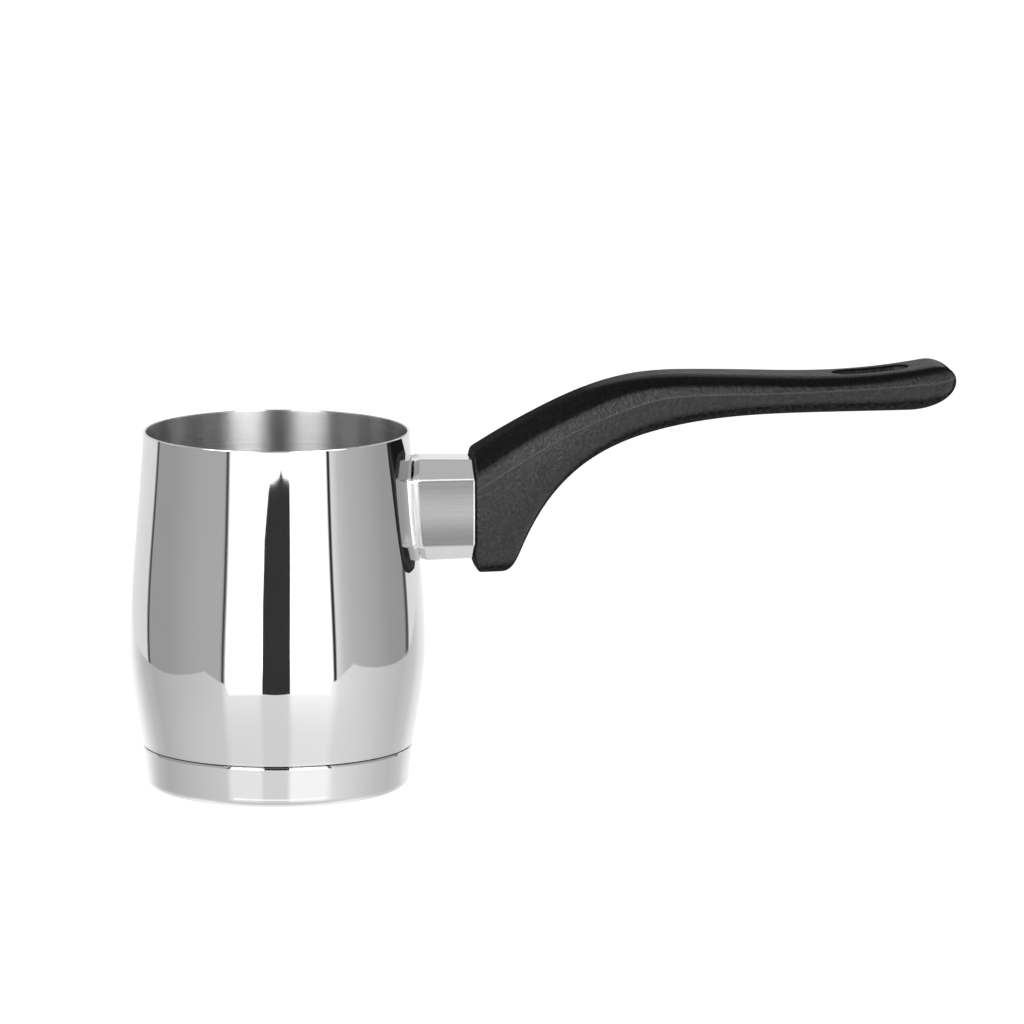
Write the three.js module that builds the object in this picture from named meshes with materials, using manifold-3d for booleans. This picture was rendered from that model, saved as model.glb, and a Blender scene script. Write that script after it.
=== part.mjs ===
// Candle melting pot: a half-litre stainless steel jug on a capsule base, with one long moulded handle.
// Millimetres, +Z up. The pot's axis is Z, it stands on z = 0, and the handle points along +X.

import * as THREE from "three";
import { mergeVertices } from "three/addons/utils/BufferGeometryUtils.js";
import Module from "manifold-3d";

const wasm = await Module();
wasm.setup();

// ---- Driving dimensions ----

const FIT = 0.3; // gap left between two pieces that touch

// Pot body
const POT_HEIGHT = 105;
const RIM_RADIUS = 39.05;
const BELLY_RADIUS = 43.4;
const BELLY_HEIGHT = 41.5;
const SEAM_RADIUS = 39.6;
const SEAM_HEIGHT = 12.5;
const BODY_WALL = 0.8;
const RIM_EDGE = 0.2; // the small bevel on both edges of the rim
const RIM_ARRIVE = [1.9, -30]; // the lean of the wall's curve as it comes up to the rim
const BELLY_UP = [0, 18]; // the wall is upright at the belly
const BELLY_DOWN = [0, -8];
const SEAM_LEAVE = [2, 10.8];

// Capsule base
const CAP_WALL = 0.6;
const CAP_FLOOR = 0.8;
const CAP_SIDE_DRAFT = 1.05; // the cap's side leans in by this much down to its foot
const CAP_INSET = 0.05; // the cap stands back from the body's edge at the seam
const CAP_FOOT_BEND = 2.4;
const DISC_THICKNESS = 5.3;
const GROOVE_RADII = [13, 20.5, 28];
const GROOVE_WIDTH = 1.4;
const GROOVE_DEPTH = 0.3;

// Ferrule, an eight-sided tube on a level axis
const AXIS_BELOW_RIM = 23.6;
const FERRULE_REACH = 16.2; // from the pot's wall to the ferrule's handle end
const FERRULE_WALL = 0.8;
const FERRULE_HALF_HEIGHT = 14.6;
const FERRULE_HALF_WIDTH = 12.2;
const FERRULE_TOP_FLAT = 5.7; // half the width of the top and bottom flats
const FERRULE_SIDE_FLAT = 9.7; // half the height of the side flats
const FERRULE_FLARE = 0.4; // it grows by this much towards the pot
const FERRULE_CORNER = 1.6;
const SADDLE_GAP = 0.8; // between the ferrule's curved edge and the wall

// Bracket, nut and screw
const STRAP = 1.5;
const STRAP_LEG_HEIGHT = 8;
const STRAP_CLEARANCE = 1; // from the end of each foot to the ferrule
const WEB_CLEARANCE = 1.8; // from the web to the handle's spigot
const SCREW_DIAMETER = 5;
const SCREW_PAST_NUT = 1.2;
const NUT_SIZE = 8;
const NUT_THICKNESS = 4;
const HEAD_DIAMETER = 8.5;
const HEAD_HEIGHT = 3.5;
const HEAD_ROUND = 1.2;
const DRIVER_SLOT_WIDTH = 1.2;
const DRIVER_SLOT_DEPTH = 1.4;
const WASHER_DIAMETER = 9;
const WASHER_THICKNESS = 1;
const SPRING_WASHER_DIAMETER = 8;
const SPRING_WASHER_THICKNESS = 1.2;
const SPRING_WASHER_SPLIT = 0.8;
const BORE_CLEARANCE = 0.35; // round the screw in the handle
const COUNTERBORE_CLEARANCE = 0.5; // round the plain washer

// Handle side view. Its x and z are counted from the middle of its front face. A curve's "leave" and
// "arrive" are steps from its two ends to the points that pull it.
const HANDLE_LENGTH = 143.9;
const FRONT_LIP = 2.2; // how far the front face stands above the ferrule
const FOOT_DROP = 4.4; // how far the foot hangs below the ferrule
const FOOT_CHAMFER = [1.6, 4.3];
const FOOT_LENGTH = 8.2;
const HEEL_LEAVE = [3, 0];
const HEEL_ARRIVE = [-1.4, -3];
const HEEL = [13.7, 5.4]; // where the foot's round heel meets the arch, counted from the foot's underside
const ARCH_LEAVE = [10.4, 24.6];
const ARCH_ARRIVE = [-20, -4.6];
const ARCH_END = [57.9, 22.5];
const UNDER_LEAVE = [19.6, 4.2];
const UNDER_ARRIVE = [-34.9, -0.2];
const UNDER_END = [14.7, 26.2]; // counted back from the tip
const TIP_HEIGHT = 34.2;
const TIP_UNDER_LEAVE = [8.2, 0.1];
const TIP_UNDER_ARRIVE = [0, -3.8];
const BACK_LEAVE = [28.9, 18.1];
const BACK_ARRIVE = [-19.5, 0.3];
const BACK_END = [62.7, 38.8];
const GRIP_LEAVE = [29.3, -0.5];
const GRIP_ARRIVE = [-26.1, -4.3];
const GRIP_END = [8.7, 40]; // counted back from the tip
const TIP_TOP_LEAVE = [4.4, 0.6];
const TIP_TOP_ARRIVE = [0, 3.5];
const TIP_ROUND_LENGTH = 11; // where the sides start to close in on the tip
const TIP_ROUND_POWER = 2.4; // 2 is an ellipse in plan view, more is blunter
const TIP_LAND = 0.02; // the last ring stands this far short of the tip
const SPIGOT = 3; // the handle's plug inside the ferrule
const SEAT_DEPTH = 6.7; // moulding left under the screw's head

// Handle sections: the front face is a little wider than the ferrule, and the rest follow along the handle
const FRONT_PROUD = 0.3;
const SECTIONS = [
  { x: 24, width: 11.6, flat: 4.6, parting: 0.66, shoulder: 4, boxy: 3.4 },
  { x: 54, width: 10.9, flat: 5.6, parting: 0.53, shoulder: 2.4, boxy: 2.6 },
  { x: 90, width: 11, flat: 6.6, parting: 0.54, shoulder: 2.1, boxy: 2.4 },
  { x: 130, width: 11.6, flat: 9, parting: 0.58, shoulder: 2, boxy: 2.4 },
];
const FRONT_PARTING = 0.76; // height of the parting line, 0 at the underside to 1 on top
const FRONT_SHOULDER = 5; // from the top flat down to the shoulder's lower edge
const FRONT_BOXY = 4.5; // the lower half's squareness: 2 is an ellipse
const SHOULDER_INSET = 1.1; // the shoulder's lower edge lies this far inside the parting line

// Hanging slot, straight down through the grip
const SLOT_TO_TIP = 13.2;
const SLOT_LENGTH = 23;
const SLOT_WIDTH = 7.6;

// How finely round shapes are cut
const ROUND_STEPS = 48;
const SADDLE_STEPS = 192;
const HOLE_STEPS = 24;
const BELLY_STEPS = 8; // corners between the parting line and the underside
const TIP_STEPS = 8;
const GRIP_STEP = 8; // distance between rings along the grip

// ---- Values that follow ----

const axisHeight = POT_HEIGHT - AXIS_BELOW_RIM;
const floorUnder = CAP_FLOOR + DISC_THICKNESS + 2 * FIT;
const capTop = SEAM_HEIGHT - FIT;
const capTopRadius = SEAM_RADIUS - CAP_INSET;
const capFootRadius = capTopRadius - CAP_SIDE_DRAFT;
const seatRadius = capTopRadius - CAP_WALL - FIT;
const screwRadius = SCREW_DIAMETER / 2;
const frontTop = FERRULE_HALF_HEIGHT + FRONT_LIP;
const footLow = -FERRULE_HALF_HEIGHT - FOOT_DROP;
const heel = [HEEL[0], footLow + HEEL[1]];
const tip = [HANDLE_LENGTH, TIP_HEIGHT];
const gripEnd = [HANDLE_LENGTH - GRIP_END[0], GRIP_END[1]];
const underEnd = [HANDLE_LENGTH - UNDER_END[0], UNDER_END[1]];

// ---- Outline and solid helpers ----

const point = (x, y) => new THREE.Vector2(x, y);

// A curve from start to end. leave is a step from the start, and arrive is a step from the end.
function curve(start, leave, arrive, end, steps) {
  const [from, to] = [point(...start), point(...end)];
  const pulls = [from.clone().add(point(...leave)), to.clone().add(point(...arrive))];
  return new THREE.CubicBezierCurve(from, ...pulls, to).getPoints(steps);
}

// A round from one angle to another, in degrees, about a centre.
function arc(cx, cy, radius, from, to, steps) {
  const points = [];
  for (let i = 0; i <= steps; i++) {
    const angle = THREE.MathUtils.degToRad(from + ((to - from) * i) / steps);
    points.push(point(cx + radius * Math.cos(angle), cy + radius * Math.sin(angle)));
  }
  return points;
}

// Reads a curve given as points: the second value where the first one equals x.
function readAt(points, x, first = "x", second = "y") {
  for (let i = 1; i < points.length; i++) {
    const [a, b] = [points[i - 1], points[i]];
    if ((x - a[first]) * (x - b[first]) <= 0 && a[first] !== b[first]) {
      return a[second] + ((b[second] - a[second]) * (x - a[first])) / (b[first] - a[first]);
    }
  }
  const [head, tail] = [points[0], points.at(-1)];
  return Math.abs(x - head[first]) < Math.abs(x - tail[first]) ? head[second] : tail[second];
}

// Moves an outline sideways by a distance, to its left as it runs.
function offsetOutline(points, distance) {
  return points.map((p, i) => {
    const [before, after] = [points[Math.max(i - 1, 0)], points[Math.min(i + 1, points.length - 1)]];
    const along = after.clone().sub(before).normalize();
    return point(p.x - along.y * distance, p.y + along.x * distance);
  });
}

function toSolid(geometry) {
  const bare = geometry.index ? geometry.toNonIndexed() : geometry.clone();
  bare.deleteAttribute("normal");
  bare.deleteAttribute("uv");
  const merged = mergeVertices(bare, 1e-4);
  return new wasm.Manifold(
    new wasm.Mesh({
      numProp: 3,
      vertProperties: new Float32Array(merged.attributes.position.array),
      triVerts: new Uint32Array(merged.index.array),
    }),
  );
}

function toGeometry(solid) {
  const mesh = solid.getMesh();
  const geometry = new THREE.BufferGeometry();
  geometry.setAttribute("position", new THREE.BufferAttribute(mesh.vertProperties, 3));
  geometry.setIndex(new THREE.BufferAttribute(mesh.triVerts, 1));
  geometry.computeVertexNormals();
  return geometry;
}

// A turned piece: a closed outline of (radius, height) points, run anticlockwise, swept round Z.
function turned(points, steps = ROUND_STEPS) {
  const geometry = new THREE.LatheGeometry(points, steps);
  geometry.rotateX(Math.PI / 2);
  return toSolid(geometry);
}

// A turned piece whose axis is X, starting at x.
function turnedAlongX(points, x, steps = HOLE_STEPS) {
  const geometry = new THREE.LatheGeometry(points, steps);
  geometry.rotateZ(-Math.PI / 2).translate(x, 0, 0);
  return toSolid(geometry);
}

function rod(radius, from, to) {
  return turnedAlongX([point(0, 0), point(radius, 0), point(radius, to - from), point(0, to - from)], from);
}

// A skin over rings of equal count, anticlockwise seen from +X and in order along X, closed with fans.
function loft(rings) {
  const count = rings[0].length;
  const corners = rings.flat();
  const faces = [];
  for (let r = 0; r + 1 < rings.length; r++) {
    for (let i = 0; i < count; i++) {
      const [a, b] = [r * count + i, r * count + ((i + 1) % count)];
      faces.push(a, b, a + count, b, b + count, a + count);
    }
  }
  for (const [ring, reversed] of [[0, true], [rings.length - 1, false]]) {
    const middle = rings[ring].reduce((sum, p) => sum.add(p), new THREE.Vector3()).divideScalar(count);
    const hub = corners.push(middle) - 1;
    for (let i = 0; i < count; i++) {
      const [a, b] = [ring * count + i, ring * count + ((i + 1) % count)];
      faces.push(hub, reversed ? b : a, reversed ? a : b);
    }
  }
  const geometry = new THREE.BufferGeometry().setFromPoints(corners);
  geometry.setIndex(faces);
  return toSolid(geometry);
}

// ---- Pot body ----

// The wall's outer curve from the seam up to the rim.
function outerWall() {
  const belly = [BELLY_RADIUS, BELLY_HEIGHT];
  const rim = [RIM_RADIUS, POT_HEIGHT - RIM_EDGE];
  const lower = curve([SEAM_RADIUS, SEAM_HEIGHT], SEAM_LEAVE, BELLY_DOWN, belly, 6);
  const upper = curve(belly, BELLY_UP, RIM_ARRIVE, rim, 9);
  return [...lower, ...upper.slice(1)];
}

const wall = outerWall();
const wallRadiusAt = (z) => readAt(wall, z, "y", "x");

// The pot's outside grown by a gap, as a cutter for pieces that sit on the wall.
function potEnvelope(gap) {
  const skin = offsetOutline(wall, -gap);
  const foot = point(skin[0].x, 0);
  const mouth = point(skin.at(-1).x, POT_HEIGHT);
  return turned([point(0, 0), foot, ...skin, mouth, point(0, POT_HEIGHT)], SADDLE_STEPS);
}

function potBody() {
  const bend = SEAM_HEIGHT - floorUnder;
  const bendCentre = seatRadius - bend;
  const inner = offsetOutline(wall, BODY_WALL);
  inner[0] = point(SEAM_RADIUS - BODY_WALL, SEAM_HEIGHT + BODY_WALL);
  return turned([
    point(0, floorUnder),
    ...arc(bendCentre, SEAM_HEIGHT, bend, -90, 0, 5),
    ...wall,
    point(RIM_RADIUS - RIM_EDGE, POT_HEIGHT),
    point(RIM_RADIUS - BODY_WALL + RIM_EDGE, POT_HEIGHT),
    ...inner.reverse(),
    ...arc(bendCentre, SEAM_HEIGHT, bend - BODY_WALL, 0, -90, 5),
    point(0, floorUnder + BODY_WALL),
  ]);
}

// ---- Capsule base ----

// The cap's outside from its flat underside to the seam, moved in by an inset.
function capSide(inset, floor) {
  const bend = CAP_FOOT_BEND - inset;
  return [
    ...arc(capFootRadius - CAP_FOOT_BEND, floor + bend, bend, -90, 0, 4),
    point(capTopRadius - inset, capTop),
  ];
}

function baseCap() {
  const underside = [point(0, 0)];
  for (const radius of GROOVE_RADII) {
    underside.push(point(radius - GROOVE_WIDTH / 2, 0));
    underside.push(point(radius, GROOVE_DEPTH));
    underside.push(point(radius + GROOVE_WIDTH / 2, 0));
  }
  const inside = capSide(CAP_WALL, CAP_FLOOR).reverse();
  return turned([...underside, ...capSide(0, 0), ...inside, point(0, CAP_FLOOR)]);
}

function heatDisc() {
  const under = CAP_FLOOR + FIT;
  const radius = capFootRadius - CAP_WALL - FIT;
  const chamfer = CAP_FOOT_BEND - CAP_WALL;
  return turned([
    point(0, under),
    point(radius - chamfer, under),
    point(radius, under + chamfer),
    point(radius, under + DISC_THICKNESS),
    point(0, under + DISC_THICKNESS),
  ]);
}

// ---- Ferrule ----

// An eight-sided ring with rounded corners in the plane at x, shrunk evenly by an inset.
function octagonRing(x, grow, inset) {
  const high = FERRULE_HALF_HEIGHT + grow;
  const corners = [
    [FERRULE_HALF_WIDTH, FERRULE_SIDE_FLAT],
    [FERRULE_TOP_FLAT, high],
    [-FERRULE_TOP_FLAT, high],
    [-FERRULE_HALF_WIDTH, FERRULE_SIDE_FLAT],
    [-FERRULE_HALF_WIDTH, -FERRULE_SIDE_FLAT],
    [-FERRULE_TOP_FLAT, -high],
    [FERRULE_TOP_FLAT, -high],
    [FERRULE_HALF_WIDTH, -FERRULE_SIDE_FLAT],
  ].map(([y, z]) => point(y, z));
  return corners.flatMap((corner, i) => {
    const before = corners.at(i - 1).clone().sub(corner).normalize();
    const after = corners[(i + 1) % corners.length].clone().sub(corner).normalize();
    const bisector = before.clone().add(after).normalize();
    const halfAngle = Math.acos(before.dot(bisector));
    const turn = Math.PI / 2 - halfAngle;
    const centre = corner.clone().addScaledVector(bisector, FERRULE_CORNER / Math.sin(halfAngle));
    return [-1, 0, 1].map((share) => {
      const out = bisector.clone().negate().rotateAround(point(0, 0), share * turn);
      const p = centre.clone().addScaledVector(out, FERRULE_CORNER - inset);
      return new THREE.Vector3(x, p.x, p.y);
    });
  });
}

const ferruleEnd = wallRadiusAt(axisHeight) + FERRULE_REACH;

function ferrule() {
  const nearPot = ferruleEnd - FERRULE_REACH - FERRULE_HALF_WIDTH / 2;
  const past = 1;
  const outer = loft([octagonRing(nearPot, FERRULE_FLARE, 0), octagonRing(ferruleEnd, 0, 0)]);
  const inner = loft([
    octagonRing(nearPot - past, FERRULE_FLARE, FERRULE_WALL),
    octagonRing(ferruleEnd + past, 0, FERRULE_WALL),
  ]);
  return outer.subtract(inner).subtract(potEnvelope(SADDLE_GAP).translate([0, 0, -axisHeight]));
}

// ---- Bracket, nut and screw, on the handle's level axis ----

const frontFace = ferruleEnd + FIT;
const webOut = frontFace - SPIGOT - WEB_CLEARANCE;
const nutFrom = webOut - STRAP - FIT - NUT_THICKNESS;
const seat = frontFace + SEAT_DEPTH;
const springFrom = seat + WASHER_THICKNESS + 2 * FIT;
const headFrom = springFrom + SPRING_WASHER_THICKNESS + FIT;

function extrudedAcross(points, width) {
  const shape = new THREE.Shape(points);
  const geometry = new THREE.ExtrudeGeometry(shape, { depth: width, bevelEnabled: false });
  geometry.translate(0, 0, -width / 2).rotateX(Math.PI / 2);
  return toSolid(geometry);
}

// A hat in side view: two feet on the wall, two legs, and the web that carries the nut.
function handleBracket() {
  const footOut = (z) => wallRadiusAt(axisHeight + z) + FIT + STRAP;
  const footEnd = FERRULE_HALF_HEIGHT - FERRULE_WALL - STRAP_CLEARANCE;
  const width = 2 * (FERRULE_TOP_FLAT - FIT);
  const inTheWall = ferruleEnd - FERRULE_REACH - width / 2;
  const upperHalf = (side) => [
    point(inTheWall, side * footEnd),
    point(footOut(side * footEnd), side * footEnd),
    point(footOut(side * STRAP_LEG_HEIGHT), side * STRAP_LEG_HEIGHT),
    point(webOut, side * STRAP_LEG_HEIGHT),
  ];
  const innerHalf = (side) => [
    point(webOut - STRAP, side * (STRAP_LEG_HEIGHT - STRAP)),
    point(inTheWall, side * (STRAP_LEG_HEIGHT - STRAP)),
  ];
  const outline = [...upperHalf(-1), ...upperHalf(1).reverse(), ...innerHalf(1).reverse(), ...innerHalf(-1)];
  return extrudedAcross(outline, width)
    .subtract(potEnvelope(FIT).translate([0, 0, -axisHeight]))
    .subtract(rod(screwRadius + FIT, nutFrom, webOut + STRAP));
}

function weldNut() {
  const geometry = new THREE.BoxGeometry(NUT_THICKNESS, NUT_SIZE, NUT_SIZE);
  geometry.translate(nutFrom + NUT_THICKNESS / 2, 0, 0);
  const hole = rod(screwRadius + FIT, nutFrom - FIT, nutFrom + NUT_THICKNESS + FIT);
  return toSolid(geometry).subtract(hole);
}

function handleScrew() {
  const end = nutFrom - SCREW_PAST_NUT;
  const shank = headFrom - end;
  const bevel = screwRadius / 4;
  const head = HEAD_DIAMETER / 2;
  const outline = [
    point(0, 0),
    point(screwRadius - bevel, 0),
    point(screwRadius, bevel),
    point(screwRadius, shank),
    point(head, shank),
    ...arc(head - HEAD_ROUND, shank + HEAD_HEIGHT - HEAD_ROUND, HEAD_ROUND, 0, 90, 3),
    point(0, shank + HEAD_HEIGHT),
  ];
  const slot = new THREE.BoxGeometry(2 * DRIVER_SLOT_DEPTH, HEAD_DIAMETER * 2, DRIVER_SLOT_WIDTH);
  slot.translate(headFrom + HEAD_HEIGHT, 0, 0);
  return turnedAlongX(outline, end).subtract(toSolid(slot));
}

function washer(diameter, thickness, from) {
  return rod(diameter / 2, from, from + thickness).subtract(
    rod(screwRadius + FIT, from - thickness, from + 2 * thickness),
  );
}

const plainWasher = () => washer(WASHER_DIAMETER, WASHER_THICKNESS, seat + FIT);

function springWasher() {
  const [thickness, across] = [SPRING_WASHER_THICKNESS, SPRING_WASHER_DIAMETER];
  const split = new THREE.BoxGeometry(thickness * 2, SPRING_WASHER_SPLIT, across);
  split.translate(springFrom + thickness / 2, 0, across / 2);
  return washer(across, thickness, springFrom).subtract(toSolid(split));
}

// ---- Handle ----

// The handle's upper edge in side view, from the front face to the tip.
const handleTop = [
  ...curve([0, frontTop], BACK_LEAVE, BACK_ARRIVE, BACK_END, 24),
  ...curve(BACK_END, GRIP_LEAVE, GRIP_ARRIVE, gripEnd, 24).slice(1),
  ...curve(gripEnd, TIP_TOP_LEAVE, TIP_TOP_ARRIVE, tip, 12).slice(1),
];

// Its lower edge: the foot with its round heel, the arch, the grip and the tip.
const handleUnder = [
  point(0, footLow + FOOT_CHAMFER[1]),
  point(FOOT_CHAMFER[0], footLow),
  ...curve([FOOT_LENGTH, footLow], HEEL_LEAVE, HEEL_ARRIVE, heel, 6),
  ...curve(heel, ARCH_LEAVE, ARCH_ARRIVE, ARCH_END, 24).slice(1),
  ...curve(ARCH_END, UNDER_LEAVE, UNDER_ARRIVE, underEnd, 24).slice(1),
  ...curve(underEnd, TIP_UNDER_LEAVE, TIP_UNDER_ARRIVE, tip, 12).slice(1),
];

const sections = [
  {
    x: 0,
    width: FERRULE_HALF_WIDTH + FRONT_PROUD,
    flat: FERRULE_TOP_FLAT + FRONT_PROUD,
    parting: FRONT_PARTING,
    shoulder: FRONT_SHOULDER,
    boxy: FRONT_BOXY,
  },
  ...SECTIONS,
];

// The section sizes at x: smooth between two stations and constant past the last one.
function sectionAt(x) {
  const i = sections.findIndex((section) => section.x > x);
  if (i < 0) return sections.at(-1);
  const [before, after] = [sections[i - 1], sections[i]];
  const share = THREE.MathUtils.smoothstep(x, before.x, after.x);
  const blend = ([key, value]) => [key, THREE.MathUtils.lerp(value, after[key], share)];
  return Object.fromEntries(Object.entries(before).map(blend));
}

// One ring of the handle at x: a flat top, sloping shoulders, sides that meet at the parting line,
// and a round belly below it that is boxier near the foot.
function handleRing(x) {
  const section = sectionAt(x);
  const [top, low] = [readAt(handleTop, x), readAt(handleUnder, x)];
  const intoTip = Math.max(0, 1 - (HANDLE_LENGTH - x) / TIP_ROUND_LENGTH);
  const narrowing = Math.sqrt(1 - intoTip ** TIP_ROUND_POWER);
  const width = section.width * narrowing;
  const flat = section.flat * narrowing;
  const parting = THREE.MathUtils.lerp(low, top, section.parting);
  const shoulder = top - Math.min(section.shoulder, (top - parting) * 0.7);
  const half = [
    [flat, top],
    [Math.max(width - SHOULDER_INSET, flat), shoulder],
    [width, parting],
  ];
  for (let i = 1; i < BELLY_STEPS; i++) {
    const angle = (Math.PI / 2) * (i / BELLY_STEPS);
    const power = 2 / section.boxy;
    half.push([width * Math.cos(angle) ** power, parting - (parting - low) * Math.sin(angle) ** power]);
  }
  const mirrored = half.map(([y, z]) => [-y, z]).reverse();
  return [...half, [0, low], ...mirrored].map(([y, z]) => new THREE.Vector3(x, y, z)).reverse();
}

// Where the rings stand: at each bend of the foot, close together along the arch and round the tip.
function handleStations() {
  const roundFrom = HANDLE_LENGTH - TIP_ROUND_LENGTH;
  const bends = handleUnder.filter((p) => p.x > FOOT_LENGTH && p.x < ARCH_END[0]).map((p) => p.x);
  const stations = [0, FOOT_CHAMFER[0], FOOT_LENGTH, ...bends];
  for (let x = ARCH_END[0]; x < roundFrom - GRIP_STEP / 2; x += GRIP_STEP) stations.push(x);
  for (let i = 0; i < TIP_STEPS; i++) {
    stations.push(roundFrom + TIP_ROUND_LENGTH * Math.sin((Math.PI / 2) * (i / TIP_STEPS)));
  }
  return [...stations, HANDLE_LENGTH - TIP_LAND];
}

function hangingSlot() {
  const radius = SLOT_WIDTH / 2;
  const end = HANDLE_LENGTH - SLOT_TO_TIP;
  const shape = new THREE.Shape();
  shape.absarc(end - SLOT_LENGTH + radius, 0, radius, Math.PI / 2, (3 * Math.PI) / 2, false);
  shape.absarc(end - radius, 0, radius, -Math.PI / 2, Math.PI / 2, false);
  const deep = gripEnd[1] * 2;
  const geometry = new THREE.ExtrudeGeometry(shape, { depth: deep, bevelEnabled: false, curveSegments: 8 });
  return toSolid(geometry);
}

function handle() {
  const spigot = loft([-SPIGOT, SPIGOT / 2].map((x) => octagonRing(x, 0, FERRULE_WALL + FIT)));
  const bore = rod(screwRadius + BORE_CLEARANCE, -SPIGOT - FIT, SEAT_DEPTH + FIT);
  const counterbore = rod(WASHER_DIAMETER / 2 + COUNTERBORE_CLEARANCE, SEAT_DEPTH, ARCH_END[0]);
  const blank = loft(handleStations().map(handleRing));
  return blank.add(spigot).subtract(bore).subtract(counterbore).subtract(hangingSlot());
}

// ---- Finishes ----

const polishedSteel = new THREE.MeshStandardMaterial({ color: 0xc9cacb, roughness: 0.08, metalness: 1 });
const plainSteel = new THREE.MeshStandardMaterial({ color: 0xa3a5a6, roughness: 0.45, metalness: 1 });
const aluminium = new THREE.MeshStandardMaterial({ color: 0xc4c6c8, roughness: 0.5, metalness: 1 });
const phenolic = new THREE.MeshStandardMaterial({ color: 0x1b1b1c, roughness: 0.5, metalness: 0 });

// ---- Assembly ----

function part(name, solid, material) {
  const mesh = new THREE.Mesh(toGeometry(solid), material);
  mesh.name = name;
  return mesh;
}

const pot = new THREE.Group();
pot.add(part("pot_body", potBody(), polishedSteel));
pot.add(part("base_cap", baseCap(), polishedSteel));
pot.add(part("heat_disc", heatDisc(), aluminium));

const handleAxis = new THREE.Group();
handleAxis.position.set(0, 0, axisHeight);
handleAxis.add(part("ferrule", ferrule(), polishedSteel));
handleAxis.add(part("handle_bracket", handleBracket(), plainSteel));
handleAxis.add(part("weld_nut", weldNut(), plainSteel));
handleAxis.add(part("handle_screw", handleScrew(), plainSteel));
handleAxis.add(part("plain_washer", plainWasher(), plainSteel));
handleAxis.add(part("spring_washer", springWasher(), plainSteel));

const grip = part("handle", handle(), phenolic);
grip.position.x = frontFace;
handleAxis.add(grip);

const meltingPot = new THREE.Group();
meltingPot.add(pot, handleAxis);

export default meltingPot;
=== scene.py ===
# %% [markdown]
# # A candle melting pot
# A half-litre steel jug on a capsule base, with an eight-sided flame guard and a long black handle.
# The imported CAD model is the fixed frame: it gives the place and the size of every piece. This script
# makes the surfaces that the eye sees. Polished steel shows every facet of a coarse mesh as a broken
# reflection, so each polished piece is made again as a smooth surface worked out by a formula.

# %% Load the fixed frame
import math

import bpy
import numpy as np
from mathutils import Matrix, Vector


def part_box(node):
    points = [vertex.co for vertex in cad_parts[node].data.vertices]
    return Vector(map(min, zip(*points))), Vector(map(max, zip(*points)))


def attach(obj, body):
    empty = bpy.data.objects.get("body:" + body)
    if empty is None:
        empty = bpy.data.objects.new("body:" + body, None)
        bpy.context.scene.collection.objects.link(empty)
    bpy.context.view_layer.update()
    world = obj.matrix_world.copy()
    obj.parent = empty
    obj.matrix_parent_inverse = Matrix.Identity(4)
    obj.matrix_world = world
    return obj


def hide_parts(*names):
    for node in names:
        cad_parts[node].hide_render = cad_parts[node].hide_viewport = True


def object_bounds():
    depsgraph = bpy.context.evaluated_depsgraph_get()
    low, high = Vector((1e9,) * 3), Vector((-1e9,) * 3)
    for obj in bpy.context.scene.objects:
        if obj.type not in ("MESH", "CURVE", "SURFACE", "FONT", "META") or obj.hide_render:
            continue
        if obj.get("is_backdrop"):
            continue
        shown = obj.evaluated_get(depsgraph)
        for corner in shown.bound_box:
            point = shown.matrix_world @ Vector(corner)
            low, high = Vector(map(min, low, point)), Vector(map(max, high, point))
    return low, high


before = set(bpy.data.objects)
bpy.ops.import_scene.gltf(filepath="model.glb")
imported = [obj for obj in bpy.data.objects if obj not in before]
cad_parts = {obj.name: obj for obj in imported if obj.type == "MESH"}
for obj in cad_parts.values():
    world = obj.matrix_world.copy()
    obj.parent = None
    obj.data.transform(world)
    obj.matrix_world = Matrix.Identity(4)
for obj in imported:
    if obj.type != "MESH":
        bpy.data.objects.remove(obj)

cad_box = [list(corner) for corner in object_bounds()]
print("CAD box in metres:", [[round(value, 4) for value in corner] for corner in cad_box])

# %% [markdown]
# ## The camera
# A pot shows its shape best from far away through a long lens: the mouth is a narrow ellipse, and
# upright edges stay upright. The camera looks from a little above, and from a
# little to the left of square-on, so the handle leans away from it. It is aimed level with the pot's
# axis and moved sideways and up to frame the handle, which keeps the ellipses untilted.

# %% Camera
CAMERA_AZIMUTH = math.radians(-7.3)
CAMERA_ELEVATION = math.radians(9.67)
CAMERA_DISTANCE = 2.835
CAMERA_RIGHT = 0.06885
CAMERA_UP = 0.07964
LENS_MM = 338.9
SENSOR_MM = 36
FARTHEST = 30

across = Vector((math.cos(CAMERA_AZIMUTH), math.sin(CAMERA_AZIMUTH), 0))
towards = Vector((math.sin(CAMERA_AZIMUTH), -math.cos(CAMERA_AZIMUTH), 0))
back = towards * math.cos(CAMERA_ELEVATION) + Vector((0, 0, math.sin(CAMERA_ELEVATION)))
upward = back.cross(across)

camera_data = bpy.data.cameras.new("camera")
camera_data.lens = LENS_MM
camera_data.sensor_width = SENSOR_MM
camera_data.clip_end = FARTHEST
camera = bpy.data.objects.new("camera", camera_data)
camera.location = across * CAMERA_RIGHT + upward * CAMERA_UP + back * CAMERA_DISTANCE
camera.rotation_euler = Matrix((across, upward, back)).transposed().to_euler()
bpy.context.scene.collection.objects.link(camera)
bpy.context.scene.camera = camera
print("camera at", [round(value, 3) for value in camera.location])

# %% [markdown]
# ## Shader maths as Python
# A pattern is a formula, and a formula is easiest to read as one. `Wire` wraps the output of a node,
# and `+ - * /` on wires add Math nodes. Every other node comes from `Bench.node`, which sets the
# node's settings first and then its sockets.

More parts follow.
